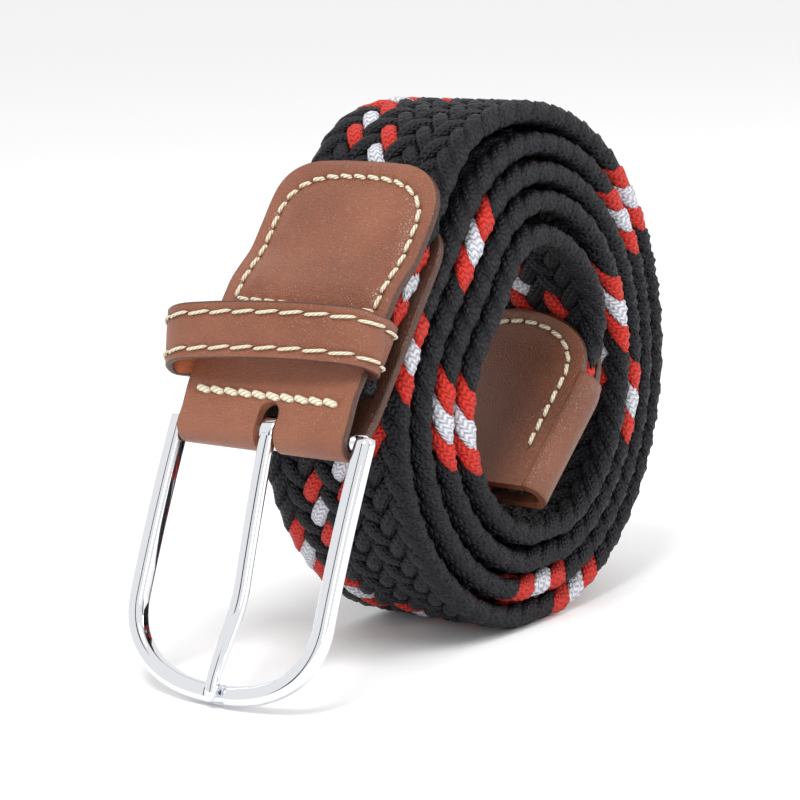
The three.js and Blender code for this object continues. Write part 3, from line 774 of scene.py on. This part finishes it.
def cut_slot(tab):
    """Cuts the prong's slot through the fold."""
    bm = bmesh.new()
    half = SLOT_WIDTH / 2
    arc = np.linspace(0, math.pi, 17)
    outline = [(-half, -SLOT_CUT), (half, -SLOT_CUT)]
    outline += [(half * math.cos(t), SLOT_REACH - half + half * math.sin(t)) for t in arc]
    low, high = [], []
    for across, along in outline:
        for ring, out in ((low, -SLOT_CUT_DEPTH), (high, SLOT_CUT_DEPTH)):
            place = on_tab(along, out)
            place[1] = -across
            ring.append(bm.verts.new(place * MM))
    bm.faces.new(low)
    bm.faces.new(high)
    for i in range(len(low)):
        j = (i + 1) % len(low)
        bm.faces.new((low[i], low[j], high[j], high[i]))
    bmesh.ops.recalc_face_normals(bm, faces=bm.faces)
    mesh = bpy.data.meshes.new("slot_cutter")
    bm.to_mesh(mesh)
    bm.free()
    cutter = bpy.data.objects.new("slot_cutter", mesh)
    bpy.context.scene.collection.objects.link(cutter)
    cut = tab.modifiers.new("slot", "BOOLEAN")
    cut.operation = "DIFFERENCE"
    cut.object = cutter
    cut.solver = "MANIFOLD"
    bpy.context.view_layer.update()
    graph = bpy.context.evaluated_depsgraph_get()
    result = bpy.data.meshes.new_from_object(tab.evaluated_get(graph))
    old = tab.data
    tab.modifiers.clear()
    tab.data = result
    bpy.data.meshes.remove(old)
    bpy.data.objects.remove(cutter)
    bpy.data.meshes.remove(mesh)
    result.name = "buckle_leather"


# The keeper


KEEPER_STEP = 0.55


def keeper_line():
    half = TAB_WIDTH / 2
    turn = GAP + KEEPER_WALL / 2
    near = half + turn + KEEPER_ROOM
    far = half + turn + KEEPER_SLACK
    rise = LEATHER + GAP + KEEPER_OPENING + KEEPER_WALL
    rows = [
        (0, 0),
        (half * 0.6, 0),
        (half, 0),
        (half + turn * 0.7, turn * 0.3),
        (far - 1.8, rise * 0.16),
        (far, rise * 0.42),
        (far - 0.9, rise * 0.72),
        (far - 4.2, rise * 0.92),
        (half * 0.6, rise),
        (0, rise),
        (-half * 0.6, rise * 0.9),
        (1.2 - near, rise * 0.68),
        (-near, rise * 0.4),
        (-half - turn * 1.1, turn * 1.3),
        (-half - turn * 0.7, turn * 0.3),
        (-half, 0),
        (-half * 0.6, 0),
    ]
    points = closed_spline(np.array(rows, float), 12)
    return resample(points, KEEPER_STEP), rise


def closed_spline(rows, steps):
    """A centripetal Catmull-Rom curve through a closed row of points."""
    count = len(rows)
    points = []
    for i in range(count):
        p = [rows[(i + k - 1) % count] for k in range(4)]
        t = [0.0]
        for k in range(3):
            t.append(t[-1] + max(np.linalg.norm(p[k + 1] - p[k]) ** 0.5, 1e-4))
        for s in np.linspace(t[1], t[2], steps, endpoint=False):
            a = [(p[k] * (t[k + 1] - s) + p[k + 1] * (s - t[k])) / (t[k + 1] - t[k]) for k in range(3)]
            b = [(a[k] * (t[k + 2] - s) + a[k + 1] * (s - t[k])) / (t[k + 2] - t[k]) for k in range(2)]
            points.append((b[0] * (t[2] - s) + b[1] * (s - t[1])) / (t[2] - t[1]))
    return np.array(points)


def resample(points, step):
    """Evenly spaced points round a closed line."""
    closed = np.concatenate([points, points[:1]])
    length = np.concatenate([[0], np.cumsum(np.linalg.norm(np.diff(closed, axis=0), axis=1))])
    d = np.linspace(0, length[-1], int(length[-1] / step), endpoint=False)
    return np.stack([np.interp(d, length, closed[:, k]) for k in range(2)], 1)


def keeper_frames():
    line, rise = keeper_line()
    way = unit(np.roll(line, -1, 0) - np.roll(line, 1, 0))
    hang = ease(line[:, 1] / rise * 1.8)
    return line, way, radians(KEEPER_LEAN) * hang, KEEPER_DROP * hang


def keeper_place(i, wall, edge, frames):
    """A keeper point: wall is out of the loop from its middle, edge is along its width."""
    line, way, lean, drop = (f[i] for f in frames)
    across = line[..., 0] - wall * -way[..., 1]
    height = -wall * way[..., 0]
    out = line[..., 1] + height * np.cos(lean) + edge * np.sin(lean)
    along = edge * np.cos(lean) - height * np.sin(lean) - drop - across * math.tan(radians(KEEPER_SKEW))
    along = along + KEEPER_FROM_BAR + KEEPER_WIDTH / 2
    place = BAR + TAB_ALONG * np.asarray(along)[..., None]
    place = place + TAB_OUT * np.asarray(KEEPER_BACK + out)[..., None]
    place[..., 1] = TAB_SHIFT + across
    return place


KEEPER_ROWS = (3.1, -3.1)
KEEPER_PITCH = 5.0


def keeper():
    frames = keeper_frames()
    line, way = frames[0], frames[1]
    count = len(line)
    section = rounded(KEEPER_WIDTH / 2, KEEPER_WALL / 2, 0.4, 3, 28, 2)
    length = np.arange(count) * KEEPER_STEP
    pitch = KEEPER_PITCH
    rings, marks = [], []
    for i in range(count):
        edge, wall = section[:, 0], section[:, 1].copy()
        outer = wall > KEEPER_WALL / 2 - 0.05
        mark = np.where(outer, 0.0, np.where(wall < -KEEPER_WALL / 2 + 0.05, 2.0, 1.0))
        for row in KEEPER_ROWS:
            near = np.exp(-(((edge - row) / 0.7) ** 2))
            hole = math.exp(-(((length[i] + pitch / 2) % pitch - pitch / 2) / 0.55) ** 2)
            wall = wall - np.where(outer, near * (0.2 + 0.35 * hole), 0)
        wall = wall - np.where(outer, 0.1 * np.exp(-(((np.abs(edge) - KEEPER_WIDTH / 2) / 0.7) ** 2)), 0)
        index = np.full(len(edge), i)
        rings.append(keeper_place(index, wall, edge, frames))
        marks.append(mark)
    rings, marks = np.array(rings), np.array(marks)
    rings = np.concatenate([rings, rings[:1]])
    marks = np.concatenate([marks, marks[:1]])
    bm = bmesh.new()
    add_grid(bm, rings, closed=True, caps=False, marks=marks)
    bmesh.ops.remove_doubles(bm, verts=bm.verts, dist=1e-8)
    finished("keeper_leather", bm, material("leather"), "belt", "keeper_loop", slot="leather")
    bm = bmesh.new()
    total = count * KEEPER_STEP
    for row in KEEPER_ROWS:
        for k in range(int(total / pitch)):
            d = np.linspace(k * pitch, (k + 1) * pitch, 10)
            index = np.minimum((d / KEEPER_STEP).round().astype(int), count - 1)
            index = np.unique(index)
            lean = np.linspace(-0.28, 0.28, len(index))
            surface = keeper_place(index, np.full(len(index), KEEPER_WALL / 2 - 0.2), row + lean, frames)
            above = keeper_place(index, np.full(len(index), KEEPER_WALL / 2 + 0.8), row + lean, frames)
            add_stitch(bm, surface, unit(above - surface), 0.3, 0.5)
    finished("keeper_stitches", bm, material("thread"), "belt", slot="leather")


# The leather tip


def tip_surface(d, side, across, height):
    """A point on one lobe of the tip: height is from the leather's middle, away from the webbing."""
    at, _, out = stations(d)
    middle = band_thickness(d) / 2 + TIP_GAP + LEATHER / 2
    place = at + out * (side * (middle + height))[:, None]
    place[:, 1] = at[:, 1] + across
    return place, out * side


def tip_path(far):
    """The U of stitches on a lobe of the tip, in across and distance from its nose."""
    inset = 3.3
    half_width = BAND_WIDTH / 2 - inset
    depth = TIP_NOSE_DEPTH - inset + 1
    from_end = depth * (1 - np.cos(np.linspace(0, math.pi / 2, 12)))
    half = lobe_half(from_end, half_width, depth, TIP_NOSE_SQUARENESS)
    left = [(h, inset + f) for h, f in zip(half, from_end)]
    right = [(-h, inset + f) for h, f in zip(half, from_end)]
    return np.array([(half_width, far)] + left[::-1] + right[1:] + [(-half_width, far - 5.5)])


def tip_tab():
    end = BAND_LENGTH + TIP_OVERHANG
    nose = end - TIP_TAB_LENGTH
    fold_start = end - TIP_FOLD_LENGTH
    line = tip_path(TIP_TAB_LENGTH - 3.5)
    runs, holes = stitch_runs(line, 3.3, 0.4, 0.15)
    bm = bmesh.new()
    for side in (1, -1):
        start = nose + np.array([0, 0.05, 0.15, 0.3])
        d = np.concatenate([start, np.arange(nose + 0.6, end + 0.01, 0.6), [end]])
        rings, marks = [], []
        for x in d:
            half = float(lobe_half(x - nose + 0.05, BAND_WIDTH / 2, TIP_NOSE_DEPTH, TIP_NOSE_SQUARENESS))
            across, height, mark = leather_ring(half, 57, 9).T
            height = height * min(1.0, 0.25 + (x - nose) / 0.8 * 0.75)
            if x > fold_start:
                joined = (across < -half + 0.6) & (mark > 0.3)
                mark = np.where(joined, 0.0, mark)
            face = (mark < 0.3) & (height > 0)
            a, b = across[face], np.full(face.sum(), x - nose)
            off = distance_to_path(a, b, line)
            height = height.copy()
            height[face] -= 0.3 * np.exp(-((off / 0.75) ** 2)) + dents(a, b, holes, 0.35, 0.6)
            place, _ = tip_surface(np.full(len(across), x), side, across, height)
            rings.append(place)
            marks.append(mark)
        add_grid(bm, np.array(rings), closed=True, marks=np.array(marks))
    d = np.arange(fold_start, end + 0.01, 0.9)
    inner = BAND_SEWN_THICKNESS / 2 + TIP_GAP
    outer = inner + LEATHER
    turn = np.linspace(0, math.pi, 21)
    edge = -BAND_WIDTH / 2 + 0.45
    arc = [(edge - outer * math.sin(t) * 0.98, outer * math.cos(t)) for t in turn]
    arc += [(edge - inner * math.sin(t), inner * math.cos(t)) for t in turn[::-1]]
    arc = np.array(arc)
    at, _, out = stations(d)
    swell = 1 - 0.25 * np.exp(-((d - fold_start) / 2.0) ** 2)
    rings = at[:, None] + out[:, None] * arc[None, :, 1, None]
    rings[..., 1] = at[:, None, 1] + edge + (arc[None, :, 0] - edge) * swell[:, None]
    add_grid(bm, rings, closed=True, marks=np.zeros(rings.shape[:2]))
    finished("tip_leather", bm, material("tip leather"), "belt", "tip_tab", slot="tip_leather")
    bm = bmesh.new()
    for side in (1, -1):
        for run in runs:
            height = np.full(len(run), LEATHER / 2 - 0.25)
            place, normal = tip_surface(nose + run[:, 1], side, run[:, 0], height)
            add_stitch(bm, place, normal, 0.42, 0.3)
    finished("tip_stitches", bm, material("thread"), "belt", slot="tip_leather")


# The buckle


def bowed(points, lean):
    """Takes the flat buckle, its length along X and its face towards +Z, to its place and bow."""
    along = points[..., 0] / FRAME_BOW
    middle = lean + along / 2
    normal = lean + along
    chord = 2 * FRAME_BOW * np.sin(along / 2)
    out = points[..., 2]
    x = BAR[0] - chord * np.cos(middle) - out * np.sin(normal)
    z = BAR[2] - chord * np.sin(middle) + out * np.cos(normal)
    return np.stack([x, -points[..., 1], z], -1)


def frame_centre():
    """The frame's centre line, from one heel round the nose to the other."""
    half = FRAME_WIDTH / 2 - FRAME_FACE / 2
    far = FRAME_REACH - FRAME_FACE / 2
    start = FRAME_REACH - FRAME_NOSE
    arm = [(a, half) for a in np.linspace(-FRAME_HEEL, start, 26)[:-1]]
    arc = []
    for t in np.linspace(0, math.pi / 2, 81):
        arc.append((start + (far - start) * math.sin(t) ** 0.87, half * max(math.cos(t), 0) ** 0.87))
    side = arm + arc
    return np.array(side + [(a, -b) for a, b in side[-2::-1]])


def lean_to_floor():
    """The lean at which the nose just reaches the floor."""
    bevel = 0.6
    half = FRAME_DEPTH / 2
    rows = [(a, o) for a in np.linspace(FRAME_REACH - FRAME_FACE, FRAME_REACH, 9) for o in (-half, half)]
    rows = [row for row in rows if row[0] <= FRAME_REACH - bevel + 1e-9]
    rows += [(FRAME_REACH, bevel - half), (FRAME_REACH, half - bevel)]
    nose = np.array([(a, 0, o) for a, o in rows])
    steep, shallow = radians(85), radians(40)
    for _ in range(30):
        middle = (steep + shallow) / 2
        if bowed(nose, middle)[:, 2].min() < 0:
            steep = middle
        else:
            shallow = middle
    return shallow


LEAN = lean_to_floor()


def flat_sweep(line, section):
    """Rings of a section (sideways, up) along a flat line of (x, y, z) points."""
    way = unit(np.gradient(line, axis=0))
    up = np.array([0.0, 0.0, 1.0])
    side = unit(np.cross(up, way))
    top = np.cross(way, side)
    return line[:, None] + side[:, None] * section[..., 0, None] + top[:, None] * section[..., 1, None]


def buckle_frame():
    line = frame_centre()
    line = np.stack([line[:, 0], line[:, 1], np.zeros(len(line))], 1)
    section = rounded(FRAME_FACE / 2, FRAME_DEPTH / 2, 1.15, 6, 3, 2)
    rings = flat_sweep(line, np.broadcast_to(section, (len(line), *section.shape)))
    shift = rings[..., 1] - FRAME_SHIFT
    seat = ease((PRONG_WIDTH * 0.36 + GAP + 0.4 - np.abs(shift)) / 0.4)
    near = rings[..., 0] > FRAME_REACH - FRAME_FACE - 1
    rings[..., 2] = np.where(near & (rings[..., 2] > 0.6), rings[..., 2] - NOTCH_DEPTH * seat, rings[..., 2])
    rings[..., 1] -= FRAME_SHIFT
    bm = bmesh.new()
    add_grid(bm, bowed(rings, LEAN), closed=True)
    reach_y = FRAME_WIDTH / 2 - FRAME_FACE / 2
    ys = np.linspace(-reach_y, reach_y, 12) - FRAME_SHIFT
    turn = np.linspace(0, 2 * math.pi, 32, endpoint=False)
    bar = np.stack(
        [
            np.broadcast_to(BAR_RADIUS * np.cos(turn), (12, 32)),
            np.broadcast_to(ys[:, None], (12, 32)),
            np.broadcast_to(BAR_RADIUS * np.sin(turn), (12, 32)),
        ],
        -1,
    )
    add_grid(bm, bowed(bar, LEAN), closed=True)
    finished("polished_frame", bm, material("chrome"), "frame", "buckle_frame", slot="polished")


def prong():
    seat = FRAME_DEPTH / 2 - NOTCH_DEPTH + GAP + PRONG_THICKNESS / 2
    root = BAR_RADIUS + BAR_CLEARANCE + PRONG_RING - PRONG_THICKNESS / 2
    tip = FRAME_REACH - 0.6
    rest = FRAME_REACH - FRAME_FACE - 0.4
    rows = [
        (0, root),
        (4, root + (PRONG_DIP - root) * 0.12),
        (PRONG_BEND * 0.5, root + (PRONG_DIP - root) * 0.5),
        (PRONG_BEND, PRONG_DIP),
        (PRONG_BEND + 3, PRONG_DIP + 0.15),
        (rest, seat),
        (tip, seat - 0.1),
    ]
    along, height = np.array(rows).T
    blunt_end = 1.5
    last = tip - blunt_end
    rounding = np.sin(np.linspace(0.1, math.pi / 2, 10))
    x = np.concatenate([np.linspace(0.3, last, 60), last + blunt_end * rounding])
    z = np.interp(x, along, height)
    kernel = np.ones(5) / 5
    z = np.convolve(np.concatenate([[z[0]] * 2, z, [z[-1]] * 2]), kernel, "valid")
    line = np.stack([x, np.zeros(len(x)), z], 1)
    end = np.clip((tip - x) / blunt_end, 0, 1)
    blunt = np.sqrt(1 - (1 - end) ** 2) * 0.9 + 0.1
    taper = np.interp(x, [0, 30, tip], [1, 0.95, 0.72])
    width = PRONG_WIDTH / 2 * taper * blunt
    thick = PRONG_THICKNESS / 2 * np.interp(x, [0, 40, tip], [1, 1, 0.75]) * blunt
    unit_ring = rounded(1, 1, 0.75, 5, 2, 2)
    section = unit_ring[None] * np.stack([width, thick], 1)[:, None]
    bm = bmesh.new()
    add_grid(bm, bowed(flat_sweep(line, section), LEAN), closed=True)
    radius = BAR_RADIUS + BAR_CLEARANCE + PRONG_RING / 2
    turn = np.linspace(0, 2 * math.pi, 49)
    ring = rounded(PRONG_WIDTH / 2, PRONG_RING / 2, 0.45, 4, 2, 1)
    out = np.stack([np.cos(turn), np.zeros(49), np.sin(turn)], 1)
    eye = out[:, None] * (radius + ring[None, :, 1, None]) + Y * ring[None, :, 0, None]
    add_grid(bm, bowed(eye, LEAN), closed=True, caps=False)
    bmesh.ops.remove_doubles(bm, verts=bm.verts, dist=1e-8)
    finished("polished_prong", bm, material("chrome"), "prong", "prong", slot="polished")


# The stage


CAMERA_PLACE = (-0.40565, -0.30404, 0.13630)
CAMERA_TARGET = (-0.01949, 0.0, 0.04441)
CAMERA_ROLL = -1.87
CAMERA_LENS = 122.94
# Dark cards out of view, which draw thin lines in the polished metal: each one's place and size in metres
DARK_CARDS = (((-1.2, 0.55, 0.3), (0.28, 1.2)), ((0.5, -1.3, 0.3), (0.34, 1.2)))
# Each lamp's place and size in metres, and its watts
LAMPS = (
    ("key", (-0.55, -0.2, 0.9), 0.35, 6.0),
    ("front", (-0.9, -0.9, 0.35), 0.4, 1.5),
    ("right", (0.6, -0.7, 0.5), 0.4, 3.0),
)


def stage():
    scene = bpy.context.scene
    camera = bpy.data.cameras.new("camera")
    camera.lens = CAMERA_LENS
    camera.sensor_width = 36
    camera.clip_start = 0.01
    holder = bpy.data.objects.new("camera", camera)
    scene.collection.objects.link(holder)
    place, target = Vector(CAMERA_PLACE), Vector(CAMERA_TARGET)
    aim = (target - place).to_track_quat("-Z", "Y").to_matrix().to_4x4()
    roll = Matrix.Rotation(math.radians(CAMERA_ROLL), 4, "Z")
    holder.matrix_world = Matrix.Translation(place) @ aim @ roll
    scene.camera = holder

    bm = bmesh.new()
    bmesh.ops.create_grid(bm, x_segments=1, y_segments=1, size=3)
    mesh = bpy.data.meshes.new("floor")
    bm.to_mesh(mesh)
    bm.free()
    floor = bpy.data.objects.new("floor", mesh)
    scene.collection.objects.link(floor)
    floor.location.z = -0.0002
    s = Shader("pale floor")
    mesh.materials.append(s.finish(base_color=(0.93, 0.93, 0.93), roughness=0.9))

    scene.view_settings.view_transform = "Standard"
    for where, size in DARK_CARDS:
        bm = bmesh.new()
        bmesh.ops.create_grid(bm, x_segments=1, y_segments=1, size=0.5)
        mesh = bpy.data.meshes.new("dark_card")
        bm.to_mesh(mesh)
        bm.free()
        card = bpy.data.objects.new("dark_card", mesh)
        scene.collection.objects.link(card)
        card.location = where
        card.scale = (*size, 1)
        aim = Vector((0, 0, 0.045)) - Vector(where)
        card.rotation_euler = aim.to_track_quat("-Z", "Y").to_euler()
        s = Shader("black card")
        mesh.materials.append(s.finish(base_color=(0.01, 0.01, 0.01), roughness=0.9))

    world = bpy.data.worlds.new("studio")
    scene.world = world
    world.use_nodes = True
    world.node_tree.nodes["Background"].inputs["Color"].default_value = (1, 1, 1, 1)
    world.node_tree.nodes["Background"].inputs["Strength"].default_value = scene.belt_looks.sky

    for name, where, size, power in LAMPS:
        lamp = bpy.data.lights.new(name, "AREA")
        lamp.size = size
        lamp.energy = power * scene.belt_looks.light
        obj = bpy.data.objects.new(name, lamp)
        scene.collection.objects.link(obj)
        obj.location = where
        aim = Vector((0, 0, 0.045)) - Vector(where)
        obj.rotation_euler = aim.to_track_quat("-Z", "Y").to_euler()


# The add-on


def colour(name, text, default):
    return bpy.props.FloatVectorProperty(
        name=name, description=text, subtype="COLOR", size=3, min=0, max=1, default=default
    )


class BeltLooks(bpy.types.PropertyGroup):
    """Colours and light of the belt."""

    navy: colour("Navy", "Colour of the main cords", linear(13, 14, 22))
    red: colour("Red", "Colour of the red cords", linear(214, 44, 30))
    white: colour("White", "Colour of the white cord", linear(226, 226, 236))
    leather: colour("Leather", "Colour of the leather ends", linear(126, 72, 47))
    thread: colour("Thread", "Colour of the stitches", linear(232, 222, 194))
    light: bpy.props.FloatProperty(name="Light", description="Strength of the lamps", default=1.0, min=0)
    sky: bpy.props.FloatProperty(
        name="Sky", description="Strength of the surrounding light", default=0.95, min=0
    )


class BELT_OT_braid(bpy.types.Operator):
    """Make the seventeen cords of the flat braid."""

    bl_idname = "belt.braid"
    bl_label = "Braid"

    def execute(self, context):
        navy = [i for i in range(CORDS) if i not in (0, 1, CORDS - 1)]
        cords("navy_cords_a", navy[:5], "navy", "braided_band")
        cords("navy_cords_b", navy[5:10], "navy", "braided_band")
        cords("navy_cords_c", navy[10:], "navy", "braided_band")
        cords("red_cords", (1, CORDS - 1), "red", "braided_band")
        cords("white_cord", (0,), "white", "braided_band")
        return {"FINISHED"}


class BELT_OT_leather(bpy.types.Operator):
    """Make the leather ends, the keeper and their stitches."""

    bl_idname = "belt.leather"
    bl_label = "Leather"

    def execute(self, context):
        buckle_tab()
        keeper()
        tip_tab()
        return {"FINISHED"}


class BELT_OT_buckle(bpy.types.Operator):
    """Make the polished frame and the prong."""

    bl_idname = "belt.buckle"
    bl_label = "Buckle"

    def execute(self, context):
        buckle_frame()
        prong()
        return {"FINISHED"}


class BELT_OT_stage(bpy.types.Operator):
    """Make the floor, the lamps and the camera."""

    bl_idname = "belt.stage"
    bl_label = "Stage"

    def execute(self, context):
        stage()
        return {"FINISHED"}


class BELT_PT_panel(bpy.types.Panel):
    """Lists the belt's steps in the sidebar."""

    bl_label = "Belt"
    bl_idname = "BELT_PT_panel"
    bl_space_type = "VIEW_3D"
    bl_region_type = "UI"
    bl_category = "Belt"

    def draw(self, context):
        looks = context.scene.belt_looks
        for name in ("navy", "red", "white", "leather", "thread", "light", "sky"):
            self.layout.prop(looks, name)
        for step in ("stage", "braid", "leather", "buckle"):
            self.layout.operator("belt." + step)


CLASSES = (BeltLooks, BELT_OT_braid, BELT_OT_leather, BELT_OT_buckle, BELT_OT_stage, BELT_PT_panel)


def register():
    for cls in CLASSES:
        bpy.utils.register_class(cls)
    bpy.types.Scene.belt_looks = bpy.props.PointerProperty(type=BeltLooks)


def unregister():
    del bpy.types.Scene.belt_looks
    for cls in reversed(CLASSES):
        bpy.utils.unregister_class(cls)


def main():
    register()
    bpy.ops.belt.stage()
    bpy.ops.belt.braid()
    bpy.ops.belt.leather()
    bpy.ops.belt.buckle()


if __name__ == "__main__":
    main()
